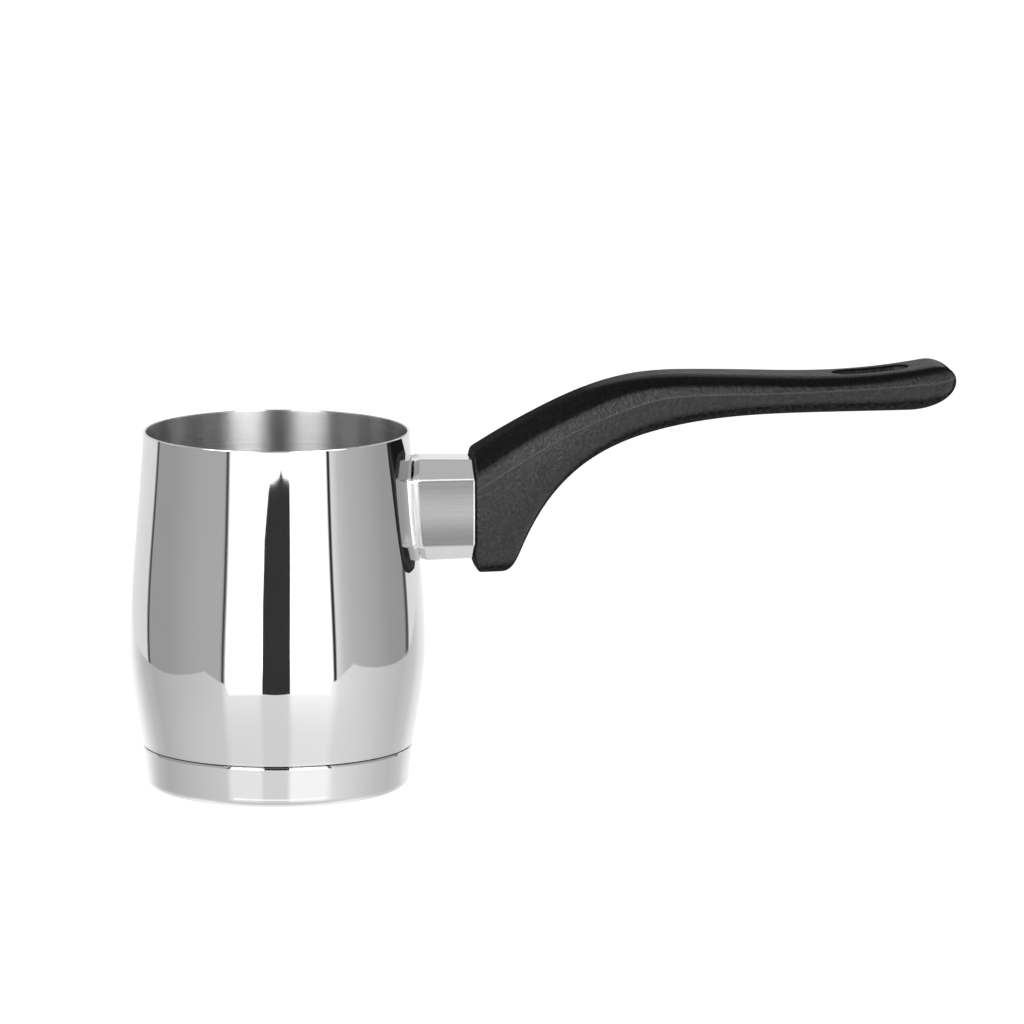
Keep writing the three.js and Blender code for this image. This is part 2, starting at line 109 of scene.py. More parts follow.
# %% Wires and benches
class Wire:
    """One output socket that can stand in a Python expression."""

    def __init__(self, bench, socket):
        self.bench = bench
        self.socket = socket

    def maths(self, operation, *others):
        """A Math node that works on this wire and the others, in that order."""
        sockets = dict(enumerate((self, *others)))
        return self.bench.node("ShaderNodeMath", {"operation": operation}, sockets)

    def __add__(self, other):
        return self.maths("ADD", other)

    __radd__ = __add__

    def __sub__(self, other):
        return self.maths("SUBTRACT", other)

    def __rsub__(self, other):
        return self * -1 + other

    def __mul__(self, other):
        return self.maths("MULTIPLY", other)

    __rmul__ = __mul__

    def __truediv__(self, other):
        return self.maths("DIVIDE", other)

    def __pow__(self, power):
        return self.maths("POWER", power)

    def output(self, name):
        """Another output of the same node."""
        return Wire(self.bench, self.socket.node.outputs[name])


class Bench:
    """A node tree being wired up."""

    def __init__(self, tree):
        self.tree = tree
        tree.nodes.clear()

    def node(self, kind, settings=None, sockets=None, output=0):
        """A node with its settings made first, then its sockets. It gives the wire of one output."""
        made = self.tree.nodes.new(kind)
        for name, value in (settings or {}).items():
            if name == "stops":
                self.set_stops(made.color_ramp, value)
            else:
                setattr(made, name, value)
        for name, value in (sockets or {}).items():
            if isinstance(value, Wire):
                self.tree.links.new(value.socket, made.inputs[name])
            else:
                made.inputs[name].default_value = value
        return Wire(self, made.outputs[output]) if len(made.outputs) else made

    @staticmethod
    def set_stops(ramp, stops):
        """Stops are (position, grey) pairs in order."""
        while len(ramp.elements) < len(stops):
            ramp.elements.new(1)
        for element, (position, value) in zip(ramp.elements, stops):
            element.position = position
            element.color = (value, value, value, 1)

    def step(self, value, low, high):
        """0 at low, 1 at high and smooth between them. With low above high it falls instead."""
        sockets = {"Value": value, "From Min": low, "From Max": high}
        return self.node("ShaderNodeMapRange", {"interpolation_type": "SMOOTHSTEP"}, sockets)

    def mix(self, share, first, second):
        """A colour between two colours, by a share of the second."""
        return self.node("ShaderNodeMix", {"data_type": "RGBA"}, {0: share, 6: first, 7: second}, 2)

    def blend(self, share, first, second):
        """A number between two numbers, by a share of the second."""
        return self.node("ShaderNodeMix", {"data_type": "FLOAT"}, {0: share, 2: first, 3: second})

    def place(self, scale=(1, 1, 1)):
        """Object coordinates in metres, stretched."""
        here = self.node("ShaderNodeTexCoord", output="Object")
        return self.node("ShaderNodeMapping", {}, {"Vector": here, "Scale": scale})

    def noise(self, vector, scale, detail=3, roughness=0.5):
        """Cloudy noise from 0 to 1, with so many features to each unit of the vector."""
        sockets = {"Vector": vector, "Scale": scale, "Detail": detail, "Roughness": roughness}
        return self.node("ShaderNodeTexNoise", {}, sockets)


print("wires and benches ready")

# %% [markdown]
# ## The studio
# A mirror shows its surroundings, so the look of polished steel is made outside the steel. A pot on a
# white table stands in a ring of cards: a bright soft box on each side of the lens, black edges where
# the cards meet, grey walls to the left and right, and a white wall behind. The ring is written as
# stops: a compass angle from the lens, and how bright the card is there. Lamps and planes could do the
# same, but a formula of the direction has no noise and no edges to hide.

# %% Ring of cards
RING = [
    (-180, 0.98), (-124.4, 0.92), (-123.4, 0.08), (-120.8, 0.08), (-119.6, 0.43), (-95, 0.435),
    (-65, 0.53), (-42.3, 0.55), (-41.5, 0.02), (-39.5, 0.02), (-38.8, 1.42), (0, 1.45), (43.7, 1.45),
    (44.4, 0.03), (46.4, 0.03), (47.3, 1.0), (54, 0.71), (62, 0.62), (84, 0.52), (100, 0.44),
    (120.4, 0.41), (121.6, 0.10), (125, 0.10), (126.2, 0.95), (180, 1.0),
]
BRIGHTEST = 2
print("studio ring of", len(RING), "stops")

# %% [markdown]
# The cards don't hang quite plumb, so a second list says how far each one leans: 0.5 is plumb. Below the
# cards the table mirrors them softly, and its tone close to the cards isn't its tone close to the pot.
# The skirting says how many degrees below level the foot of each card stands.

# %% Lean, table and skirting
LEAN = [(-180, 0.5), (-121, 1.0), (-85, 0.5), (-42, 0.35), (0, 0.5), (46, 0.65), (85, 0.5), (180, 0.5)]
LEAN_SHARE = 0.52
TABLE_BY_CARDS = [
    (-180, 1.23), (-154, 1.10), (-134, 0.68), (-118, 0.58), (-86, 0.67), (-42, 0.81), (-37, 1.14),
    (-13, 1.17), (-10, 0.92), (9, 0.92), (12, 1.38), (42, 1.34), (50, 1.02), (74, 0.87), (99, 0.73),
    (117, 0.67), (135, 0.76), (150, 1.0), (180, 1.1),
]
TABLE_BY_POT = [
    (-180, 1.05), (-150, 0.93), (-120, 0.70), (-63, 0.80), (-42, 0.82), (-36, 0.95), (-12, 0.97),
    (-9, 0.88), (9, 0.88), (14, 1.06), (40, 1.06), (48, 0.93), (80, 0.88), (110, 0.79), (150, 0.80),
    (160, 1.0), (180, 1.05),
]
SKIRTING = [
    (-180, 8), (-130, 10.6), (-122.7, 11.8), (-108, 13.6), (-100, 14.3), (-90, 14.7), (-80, 14.7),
    (-71, 14.3), (-61.6, 13.3), (-56.5, 12.3), (-52.8, 13.9), (-45.5, 16.2), (-38, 18), (-36, 21.8),
    (41, 21.8), (43.5, 17.4), (48.3, 16), (51.5, 14.5), (55.6, 12.2), (59.8, 10.5), (62.4, 10.1),
    (73.6, 11.3), (83.7, 12.1), (95, 12.25), (106.4, 11.8), (118.4, 10.5), (126, 10), (140, 8), (180, 8),
]
DEEPEST = 40
print("table of", len(TABLE_BY_CARDS), "stops and skirting of", len(SKIRTING))

# %% [markdown]
# The world shader gets one direction for each ray. Its height above level is the arcsine of its upward
# share, and its compass angle is the arctangent of its sideways and forward shares. A colour ramp turns
# the angle into a brightness. Ramps hold 0 to 1, so each list is divided by its top value first.

# %% Directions and ramps
def compass(stops, top):
    """Ramp stops from (angle, value) pairs: the full circle is 0 to 1, and values are shares of top."""
    return [((angle + 180) / 360, value / top) for angle, value in stops]


def along(axis):
    """How much of the ray's direction lies along an axis."""
    return sky.node("ShaderNodeVectorMath", {"operation": "DOT_PRODUCT"}, {0: ray, 1: axis}, "Value")


def ring_of(stops, top, at):
    """A ramp round the whole compass, read at an angle. One ramp holds no more than 32 stops."""
    return sky.node("ShaderNodeValToRGB", {"stops": compass(stops, top)}, {"Fac": at / 360 + 0.5}) * top


world = bpy.data.worlds.new("studio")
world.use_nodes = True
bpy.context.scene.world = world
sky = Bench(world.node_tree)
ray = sky.node("ShaderNodeTexCoord", output="Generated")
height = along((0, 0, 1)).maths("ARCSINE") * math.degrees(1)
plumb = along(across).maths("ARCTAN2", along(towards)) * math.degrees(1)
lean = (ring_of(LEAN, 1, plumb) - 0.5) * 2 * LEAN_SHARE
LEANS_ABOUT = -2
PLUMB_ABOVE = 4
angle = plumb + lean * (height - LEANS_ABOUT) * sky.step(height, PLUMB_ABOVE, PLUMB_ABOVE - 2)
aside = angle.maths("ABSOLUTE")
print("cards lean about", LEANS_ABOUT, "degrees")

# %% [markdown]
# The soft boxes are brightest at the height of their lamps, and the right one is brighter on its outer
# side. Above them a dark gap is left for the lens. Below the foot of each card the table takes over.

# %% Soft boxes and table
SOFT_BOX_EDGE = 41
LAMP_LOW, LAMP_HEIGHT, LAMP_TOP = -19, -9, 4
BOTH_BOXES = 1.1
RIGHT_BOX = 1.8
LENS_GAP = 10.5
GAP_DARKNESS = 0.97
FOOT_SOFTNESS = 0.35
lamp_level = sky.step(height, LAMP_LOW, LAMP_HEIGHT) * sky.step(height, LAMP_TOP, LAMP_HEIGHT)
both = BOTH_BOXES * sky.step(aside, SOFT_BOX_EDGE, 30)
right = RIGHT_BOX * sky.step(angle, 18, 30) * sky.step(angle, 43.2, 42.6)
lens_gap = sky.step(aside, LENS_GAP + 0.6, LENS_GAP) * sky.step(height, LAMP_TOP, LAMP_TOP + 3)
wall = (ring_of(RING, BRIGHTEST, angle) + lamp_level * (both + right)) * (1 - GAP_DARKNESS * lens_gap)
by_pot, by_cards = (ring_of(stops, BRIGHTEST, angle) for stops in (TABLE_BY_POT, TABLE_BY_CARDS))
table = sky.blend(sky.step(height, -32, -19), by_pot, by_cards)
above_foot = height + ring_of(SKIRTING, DEEPEST, angle)
cards_and_table = sky.blend(sky.step(above_foot, -FOOT_SOFTNESS, FOOT_SOFTNESS), table, wall)
print("soft boxes", BOTH_BOXES, "and", RIGHT_BOX, "brighter at their lamps")

# %% [markdown]
# Over the cards the room is dim, more so on the lens's side, and straight up hangs a pale ceiling. The
# table right under the pot glows. A ray from the camera itself sees none of this, only plain white.

# %% Whole room
BEHIND = (60, 110)
ROOM_BY_LENS, ROOM_BEHIND, CEILING = 0.18, 0.5, 0.62
UNDER_BY_LENS, UNDER_BEHIND = 0.8, 1.2
CARD_TOP_BY_LENS, CARD_TOP_BEHIND = 26, 14
BACKDROP = 1.05
behind = sky.step(aside, *BEHIND)
dim_room = sky.blend(behind, ROOM_BY_LENS, ROOM_BEHIND)
over_head = sky.blend(sky.step(height, 66, 80), dim_room, CEILING)
card_top = sky.blend(sky.step(aside, 110, 150), CARD_TOP_BY_LENS, CARD_TOP_BEHIND)
all_round = sky.blend(sky.step(height - card_top, -5, 5), cards_and_table, over_head)
under_pot = sky.blend(behind, UNDER_BY_LENS, UNDER_BEHIND)
whole_room = sky.blend(sky.step(height, -55, -36), under_pot, all_round)
to_lens = sky.node("ShaderNodeLightPath", output="Is Camera Ray")
strength = sky.blend(to_lens, whole_room, BACKDROP)
lit = sky.node("ShaderNodeBackground", {}, {"Color": (1, 1, 1, 1), "Strength": strength})
sky.node("ShaderNodeOutputWorld", {}, {"Surface": lit})
bpy.context.scene.view_settings.view_transform = "Standard"
print("room wired with", len(world.node_tree.nodes), "nodes")

# %% [markdown]
# The floor is one pale disc. It glows a little, as a light table does, so it stays white to the far
# edge. Glossy rays don't see it, because the table that the steel shows is already part of the studio
# formula.

# %% Floor
FLOOR_RADIUS = 9
FLOOR_GLOW = 0.88
BELOW_POT = 2e-5


def material(name):
    """A new material with an empty bench, ready for its shader."""
    made = bpy.data.materials.new(name)
    made.use_nodes = True
    return made, Bench(made.node_tree)


def finish_with(bench, shader):
    bench.node("ShaderNodeOutputMaterial", {}, {"Surface": shader})


def prop(name, points, paint, faces=None):
    """A stage piece: its outline filled by one face, unless its faces are given."""
    mesh = bpy.data.meshes.new(name)
    mesh.from_pydata([list(point) for point in points], [], faces or [list(range(len(points)))])
    mesh.materials.append(paint)
    made = bpy.data.objects.new(name, mesh)
    bpy.context.scene.collection.objects.link(made)
    made.visible_diffuse = False
    made.visible_shadow = False
    made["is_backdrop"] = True
    return made


def pale_floor():
    made, bench = material("pale_floor")
    grain = bench.noise(bench.place(), 40, 2)
    shade = bench.mix(grain, (0.46, 0.46, 0.46, 1), (0.5, 0.5, 0.5, 1))
    finish_with(bench, bench.node("ShaderNodeBsdfPrincipled", {}, {
        "Base Color": shade, "Roughness": 0.9, "Specular IOR Level": 0.0,
        "Emission Color": (1, 1, 1, 1), "Emission Strength": FLOOR_GLOW,
    }))
    return made


turns = np.linspace(0, 2 * math.pi, 96, endpoint=False)
circle = FLOOR_RADIUS * np.stack([np.cos(turns), np.sin(turns)], 1)
floor = prop("floor", np.insert(circle, 2, -BELOW_POT, 1), pale_floor())
floor.visible_glossy = False
print("floor of", 2 * FLOOR_RADIUS, "metres")

# %% [markdown]
# The lens looks through a slit between the two soft boxes. The slit stands near the pot, so it is a real
# card and not part of the far-away ring: only a near thing slides along a mirror as the mirror bends.
# Its top ends in a small peak where the two boxes hang apart. Only glossy rays see it. The outline is in
# millimetres: sideways from the lens's line, and up from the table.

# %% Lens slit
SLIT_DISTANCE = 0.300
SLIT_GREY = (0.045, 0.045, 0.045, 1)
SLIT_OUTLINE = [
    (-52, -69), (-47.7, 15), (-46.6, 56), (-41.7, 79.8), (-33.9, 85.2), (-25.9, 89.3), (-19.7, 90.5),
    (-3.4, 90.8), (13, 91.3), (20, 91.8), (25.5, 92.7), (30, 91.9), (37.8, 91.3), (54.4, 90.9), (61, 90.5),
    (60, 79.8), (57, 56), (55.3, 15.2), (56.4, -69),
]


def glow(name, colour, level=1.0):
    """A surface that only shines."""
    made, bench = material(name)
    finish_with(bench, bench.node("ShaderNodeEmission", {}, {"Color": colour, "Strength": level}))
    return made


def hidden_card(name, points, paint, faces=None):
    """A stage piece that steel mirrors and the camera doesn't see."""
    card = prop(name, points, paint, faces)
    card.visible_camera = False


def on_slit(x, z):
    return towards * SLIT_DISTANCE + across * x / 1000 + Vector((0, 0, z / 1000))


hidden_card("lens_slit", [on_slit(x, z) for x, z in SLIT_OUTLINE], glow("black_slit", SLIT_GREY))
print("slit of", len(SLIT_OUTLINE), "points")

# %% [markdown]
# The brushed inside of the pot spreads light up and down but hardly sideways, so it shows what hangs over
# its mouth as upright bands. Two pale strips of cloth hang there in a ring, out of the lens's sight, and
# a few thin ones to the sides. A second small card over the guard gives its upper corner a light edge.
# Each cloth is its first and last compass angle and how brightly it shines.

# %% Cloths over the mouth
CLOTH_RADIUS = 0.100
CLOTH_LOW = 0.125
CLOTH_HIGH = 0.330
CLOTH_POINTS = 13
CLOTHS = [(17, 53.5, 9.5), (-54.5, -19, 8), (-102, -84, 1.2), (-131, -121, 1.0), (112, 124, 1.2)]
CARD_HEIGHT = 0.110
CORNER_CARD = [(0.042, -0.014), (0.062, -0.014), (0.066, -0.06), (0.046, -0.06)]
CARD_GLOW = 1.4
WHITE = (1, 1, 1, 1)


def cloth_points(start, stop):
    """The low edge of a curved strip and then its high edge: each compass angle is a place on the ring."""
    turns = np.radians(np.linspace(start, stop, CLOTH_POINTS))
    flat = [(across * math.sin(turn) + towards * math.cos(turn)) * CLOTH_RADIUS for turn in turns]
    return [point + Vector((0, 0, level)) for level in (CLOTH_LOW, CLOTH_HIGH) for point in flat]


strips = [[i, i + 1, CLOTH_POINTS + i + 1, CLOTH_POINTS + i] for i in range(CLOTH_POINTS - 1)]
for number, (start, stop, level) in enumerate(CLOTHS):
    name = f"cloth_{number}"
    hidden_card(name, cloth_points(start, stop), glow(name, WHITE, level), strips)
corners = [(x, y, CARD_HEIGHT) for x, y in CORNER_CARD]
hidden_card("corner_card", corners, glow("corner_card", WHITE, CARD_GLOW))
print(len(CLOTHS), "cloths over the mouth")

# %% [markdown]
# ## Surfaces from formulas
# Each shape here is a grid of points worked out as whole arrays: rows along a profile or a path, and
# columns round the piece. `skin` turns such a grid into a closed mesh whose faces point outwards.

# %% Curves
MM = 0.001


def curve(start, leave, arrive, end, count):
    """A Bezier curve: its four control points weighted by (1-t)^3, 3t(1-t)^2, 3t^2(1-t) and t^3. The inner
    two are given as steps from the ends: how the curve leaves the start and arrives at the end."""
    start, end = np.array(start, float), np.array(end, float)
    first, second = start + leave, end + arrive
    t = np.linspace(0, 1, count)[:, None]
    return start * (1 - t) ** 3 + 3 * first * t * (1 - t) ** 2 + 3 * second * t**2 * (1 - t) + end * t**3


def arc(centre, radius, start, stop, count):
    """Points at a fixed radius while the angle, in degrees, goes evenly from start to stop."""
    angles = np.radians(np.linspace(start, stop, count))
    return np.stack([centre[0] + radius * np.cos(angles), centre[1] + radius * np.sin(angles)], 1)


def joined(*pieces):
    """One run of points from several, without the points that repeat where two of them meet."""
    points = np.vstack([np.atleast_2d(np.array(piece, float)) for piece in pieces])
    gaps = np.linalg.norm(np.diff(points, axis=0), axis=1)
    return points[np.concatenate([[True], gaps > 1e-6])]


def sideways(points, distance):
    """The same curve moved to its left: each point goes along the normal of its two neighbours' line."""
    heading = np.gradient(points, axis=0)
    heading /= np.linalg.norm(heading, axis=1)[:, None]
    return points + distance * np.stack([-heading[:, 1], heading[:, 0]], 1)


def spun(profile, columns):
    """The profile's (radius, height) turned round Z: x = r cos a, y = r sin a, z = height."""
    angles = np.linspace(0, 2 * math.pi, columns, endpoint=False)
    radius, level = profile[:, 0, None], profile[:, 1, None]
    return np.stack([radius * np.cos(angles), radius * np.sin(angles), level + 0 * angles], 2)


print("curve helpers ready")


# %% Surfaces
def skin(name, grid, ring=False):
    """A closed mesh from rows of points, in millimetres. Columns wrap round. A ring's last row joins its
    first one, and otherwise the two end rows are closed by fans to their middle points."""
    rows, columns = grid.shape[:2]
    points = grid.reshape(-1, 3)
    index = np.arange(rows * columns).reshape(rows, columns)
    following = np.roll(index, -1, axis=1)
    above = np.roll(index, -1, axis=0) if ring else index[1:]
    last = rows if ring else rows - 1
    near, far = index[:last], above[:last]
    near_next, far_next = following[:last], np.roll(far, -1, axis=1)
    quads = np.stack([near, near_next, far_next, far], 2).reshape(-1, 4)
    faces = quads.tolist()
    if not ring:
        middles = np.stack([grid[0].mean(0), grid[-1].mean(0)])
        first_hub = len(points)
        points = np.vstack([points, middles])
        start_fan = np.stack([np.full(columns, first_hub), following[0], index[0]], 1)
        end_fan = np.stack([np.full(columns, first_hub + 1), index[-1], following[-1]], 1)
        faces += start_fan.tolist() + end_fan.tolist()
    mesh = bpy.data.meshes.new(name)
    mesh.from_pydata((points * MM).tolist(), [], faces)
    mesh.validate()
    if volume_of(mesh) < 0:
        mesh.flip_normals()
    made = bpy.data.objects.new(name, mesh)
    bpy.context.scene.collection.objects.link(made)
    return made


def volume_of(mesh):
    """The signed volume: a sixth of the sum of a . (b x c) over all triangles."""
    mesh.calc_loop_triangles()
    corners = np.zeros(len(mesh.loop_triangles) * 3, np.int32)
    mesh.loop_triangles.foreach_get("vertices", corners)
    places = np.zeros(len(mesh.vertices) * 3)
    mesh.vertices.foreach_get("co", places)
    a, b, c = places.reshape(-1, 3)[corners.reshape(-1, 3)].transpose(1, 0, 2)
    return np.einsum("ij,ij->i", a, np.cross(b, c)).sum() / 6


def smooth(piece, sharp):
    """Round shading, with edges that turn by more than the angle left sharp."""
    piece.data.shade_smooth()
    piece.data.set_sharp_from_angle(angle=math.radians(sharp))
    return piece


def settle(piece, slot, *nodes):
    """Tells the frame which body carries the piece and which nodes it replaces. The finish's slot is not
    used.
    """
    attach(piece, "root")
    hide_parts(*nodes)
    triangles = sum(len(face.vertices) - 2 for face in piece.data.polygons)
    print(piece.name, "has", triangles, "triangles")
    return piece


print("surface helpers ready")

# %% [markdown]
# ## The pot
# The jug is drawn from thin sheet, so its inside follows its outside at one wall's thickness. Its side is
# widest low down, draws in to the mouth with a long lean, and tucks in quickly to the seam. Two Bezier
# curves that are both upright at the belly give that side with no kink. A turned profile is the natural
# way to make it. Below the seam it steps in by the cap's wall, where the capsule slips over it. Faces
# past the rim get the second finish, which is for the inside.

# %% Pot body
RIM_RADIUS = 39.05
BELLY_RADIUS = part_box("pot_body")[1].x / MM
POT_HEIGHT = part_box("pot_body")[1].z / MM
BELLY_HEIGHT = 41.5
CAP_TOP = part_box("base_cap")[1].z / MM
CAP_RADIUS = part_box("base_cap")[1].x / MM
GAP = 0.3
SEAM_HEIGHT = CAP_TOP + GAP
SEAM_RADIUS = CAP_RADIUS + 0.05
BODY_WALL = 0.8
CAP_WALL = 0.6
EDGE_ROUND = 0.25
FLOOR_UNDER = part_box("pot_body")[0].z / MM
ROUND_COLUMNS = 224
HUB = 0.4
LEAVE_SEAM, REACH_BELLY = (1.97, 10.6), (0, -8)
LEAVE_BELLY, REACH_RIM = (0, 18), (1.9, -30)


def pot_side():
    """The wall's outer curve from just above the seam to just below the rim."""
    belly = (BELLY_RADIUS, BELLY_HEIGHT)
    lower = curve((SEAM_RADIUS, SEAM_HEIGHT + EDGE_ROUND), LEAVE_SEAM, REACH_BELLY, belly, 40)
    upper = curve(belly, LEAVE_BELLY, REACH_RIM, (RIM_RADIUS, POT_HEIGHT - EDGE_ROUND), 64)
    return joined(lower, upper)


def pot_profile():
    """From the middle of the underside out, up the outside, over the rim and down to the middle again.
    It stops a little short of the axis at both ends, where the skin's fans close it."""
    side = pot_side()
    seat = CAP_RADIUS - CAP_WALL - GAP
    bend = SEAM_HEIGHT - FLOOR_UNDER
    centre = (seat - bend, SEAM_HEIGHT)
    top = POT_HEIGHT - EDGE_ROUND
    inside = sideways(side, BODY_WALL)[:1:-1]
    inside[:, 1] = np.minimum(inside[:, 1], top)
    return joined(
        (HUB, FLOOR_UNDER),
        np.stack([np.linspace(2, centre[0], 12), np.full(12, FLOOR_UNDER)], 1),
        arc(centre, bend, -90, 0, 12),
        (SEAM_RADIUS - EDGE_ROUND, SEAM_HEIGHT),
        arc((SEAM_RADIUS - EDGE_ROUND, SEAM_HEIGHT + EDGE_ROUND), EDGE_ROUND, -80, -8, 5),
        side,
        arc((RIM_RADIUS - EDGE_ROUND, top), EDGE_ROUND, 8, 90, 6),
        arc((RIM_RADIUS - BODY_WALL + EDGE_ROUND, top), EDGE_ROUND, 90, 172, 6),
        inside,
        (SEAM_RADIUS - BODY_WALL, SEAM_HEIGHT + BODY_WALL + 0.4),
        arc(centre, bend - BODY_WALL, 0, -90, 16),
        np.stack([np.linspace(centre[0] - 1, HUB, 20), np.full(20, FLOOR_UNDER + BODY_WALL)], 1),
    )


ROUND_SHARP = 40
ROWS_OVER_RIM = 4
profile = pot_profile()
pot = smooth(skin("polished_pot", spun(profile, ROUND_COLUMNS)), ROUND_SHARP)
rim_row = int(np.argmax(profile[:, 1] > POT_HEIGHT - 1e-4))
face_rows = np.arange(len(pot.data.polygons)) // ROUND_COLUMNS
is_inside = (face_rows > rim_row + ROWS_OVER_RIM) & (face_rows < len(profile) - 1)
is_inside[-ROUND_COLUMNS:] = True
pot.data.polygons.foreach_set("material_index", is_inside.astype(np.int32))
settle(pot, "polished_steel", "pot_body")

# %% [markdown]
# ## The capsule base
# A cup of polished steel shuts the aluminium disc in under the pot. Its side leans in to a rounded foot,
# and its underside carries turned rings, which let air out from under it on a flat hob.

# %% Base cap
CAP_DRAFT = 1.05
FOOT_BEND = 2.4
GROOVE_RADII = (13, 20.5, 28)
GROOVE_WIDTH = 1.4
GROOVE_DEPTH = 0.3
CAP_FLOOR = 0.8


def cap_side(inset, level):
    """The cap's side from its foot to its open edge, moved in by an inset."""
    foot = CAP_RADIUS - CAP_DRAFT
    bend = FOOT_BEND - inset
    rounded = arc((foot - FOOT_BEND, level + bend), bend, -90, 0, 14)
    climb = np.linspace(rounded[-1], (CAP_RADIUS - inset, CAP_TOP), 12)
    return joined(rounded, climb)


def cap_profile():
    """The underside with its rings, side, open edge, inside, and back to the axis. Each ring is a bump:
    depth times exp(-(distance / half width)^2)."""
    radii = np.linspace(HUB, CAP_RADIUS - CAP_DRAFT - FOOT_BEND, 90)
    rings = sum(np.exp(-(((radii - radius) / (GROOVE_WIDTH / 2)) ** 2)) for radius in GROOVE_RADII)
    underside = np.stack([radii, GROOVE_DEPTH * rings], 1)
    outside, inside = cap_side(0, 0), cap_side(CAP_WALL, CAP_FLOOR)[::-1]
    outside[-1, 1] -= 0.15
    edge = [(CAP_RADIUS - 0.06, CAP_TOP - 0.05), (CAP_RADIUS - 0.15, CAP_TOP)]
    return joined(underside, outside, edge, inside, (HUB, CAP_FLOOR))


cap = smooth(skin("polished_base", spun(cap_profile(), ROUND_COLUMNS)), ROUND_SHARP)
settle(cap, "polished_steel_base", "base_cap")

# %% [markdown]
# ## The flame guard
# The guard is a short tube of eight sides with rounded corners, cut at one end to sit against the round
# pot. Its section is a function of one turn: the octagon's corners are rounded by arcs, and the two
# upright flats bow out a little, as pressed sheet does.

# %% Guard section
AXIS_HEIGHT = POT_HEIGHT - 23.6
GUARD_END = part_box("ferrule")[1].x / MM
HALF_HEIGHT = 14.6
HALF_WIDTH = 12.2
TOP_FLAT = 5.7
SIDE_FLAT = 9.7
GUARD_CORNER = 1.3
GUARD_WALL = 0.8
BOW = 0.45


def units(vectors):
    return vectors / np.linalg.norm(vectors, axis=1)[:, None]


def octagon(inset, grow=0.0, bow=0.0, steps=9, flats=14):
    """The section as (y, z) points: arcs at the eight corners, and flats between them. A bowed flat moves
    out by 4 s (1 - s) of the bow, s being the share of the way along it."""
    quarter = [(HALF_WIDTH, SIDE_FLAT), (TOP_FLAT, HALF_HEIGHT + grow)]
    corners = np.array(quarter + [(-y, z) for y, z in quarter[::-1]])
    corners = np.vstack([corners, -corners])
    before = units(np.roll(corners, 1, axis=0) - corners)
    after = units(np.roll(corners, -1, axis=0) - corners)
    middle = units(before + after)
    half = np.arccos((before * middle).sum(1))
    centres = corners + middle * (GUARD_CORNER / np.sin(half))[:, None]
    out = np.arctan2(-middle[:, 1], -middle[:, 0])
    turns = out[:, None] + np.linspace(-1, 1, steps) * (math.pi / 2 - half)[:, None]
    arcs = centres[:, None] + (GUARD_CORNER - inset) * np.stack([np.cos(turns), np.sin(turns)], 2)
    starts, stops = arcs[:, -1], np.roll(arcs[:, 0], -1, axis=0)
    share = np.linspace(0, 1, flats + 2)[1:-1, None]
    straight = starts[:, None] + (stops - starts)[:, None] * share
    normal = units(np.stack([(stops - starts)[:, 1], -(stops - starts)[:, 0]], 1))
    upright = (np.abs(normal[:, 0]) > 0.9)[:, None, None]
    straight += normal[:, None] * upright * bow * 4 * share * (1 - share)
    return np.concatenate([arcs, straight], 1).reshape(-1, 2)


print("guard section of", len(octagon(0)), "points")

# %% [markdown]
# Along the guard each point runs from the curved cut on the pot to the flat end at the handle. The cut
# follows the pot's own side, close at the sides and a little looser along the top. The sheet is drawn in
# towards that cut, and the outer rows there are marked for a painted highlight. At the flat end the edge
# turns in with a small round, which is also marked for the painted highlight.

# %% Flame guard
FLARE = 0.4
SADDLE_GAP = 0.08
TOP_GAP = 0.55
DRAWN = 1.9
DRAW_SLOPE = math.tan(math.radians(20))
DRAW_SOFTNESS = 0.02
LIP_ROUND = 0.45
LIP_STEPS = 6


def wall_radius(level):
    side = pot_side()
    return np.interp(level, side[:, 1], side[:, 0])


def guard_sheet(inset, share, stop):
    """Rows of (x, y, z) along the guard by their share of the way, and which points get the painted
    highlight. A point at y on a wall of radius r starts at x = sqrt(r^2 - y^2)."""
    near_pot, at_end = octagon(inset, FLARE, BOW), octagon(inset, 0, BOW)
    section = near_pot + (at_end - near_pot) * share[:, None, None]
    above = np.clip((section[..., 1] - SIDE_FLAT) / 2, 0, 1)
    reach = wall_radius(AXIS_HEIGHT + section[..., 1]) + SADDLE_GAP + TOP_GAP * above
    saddle = np.sqrt(reach**2 - section[..., 0] ** 2)
    x = saddle + (stop - saddle) * share[:, None]
    inside = np.clip(DRAWN - (x - saddle), 0, DRAWN)
    draw = DRAW_SLOPE * (np.sqrt(inside**2 + DRAW_SOFTNESS) - math.sqrt(DRAW_SOFTNESS))
    section = section * (1 - draw / np.linalg.norm(section, axis=2))[..., None]
    on_side = np.abs(near_pot[:, 0]) > HALF_WIDTH - 1
    return np.concatenate([x[..., None], section], 2), (inside > 0.05) & on_side


def guard_lip(outer_row, inner_row):
    """The quarter round between the outer and the inner skin at the flat end."""
    for bend in np.radians(np.linspace(0, 90, LIP_STEPS + 1)[1:]):
        row = outer_row + (inner_row - outer_row) * LIP_ROUND * (1 - math.cos(bend)) / GUARD_WALL
        row[:, 0] = GUARD_END - LIP_ROUND * (1 - math.sin(bend))
        yield row


share = (1 - np.cos(np.linspace(0, math.pi, 60))) / 2
outer, drawn = guard_sheet(0, share, GUARD_END - LIP_ROUND)
inner = guard_sheet(GUARD_WALL, share, GUARD_END)[0][::-1]
lip = np.array(list(guard_lip(outer[-1], inner[0])))
guard_grid = np.concatenate([outer, lip, inner])
guard_grid[..., 2] += AXIS_HEIGHT
guard = smooth(skin("flame_guard", guard_grid, ring=True), 35)
# Painted highlight: the drawn rows by the pot and the round at the flat end are marked, and the finish
# paints them a pale steel.
painted_highlight = np.zeros(guard_grid.shape[:2], np.float32)
painted_highlight[:len(outer)] = drawn
painted_highlight[len(outer) - 1:len(outer) + len(lip)] = 1
guard.data.attributes.new("buffed_edge", "FLOAT", "POINT").data.foreach_set("value", painted_highlight.ravel())
settle(guard, "polished_steel_guard", "ferrule")

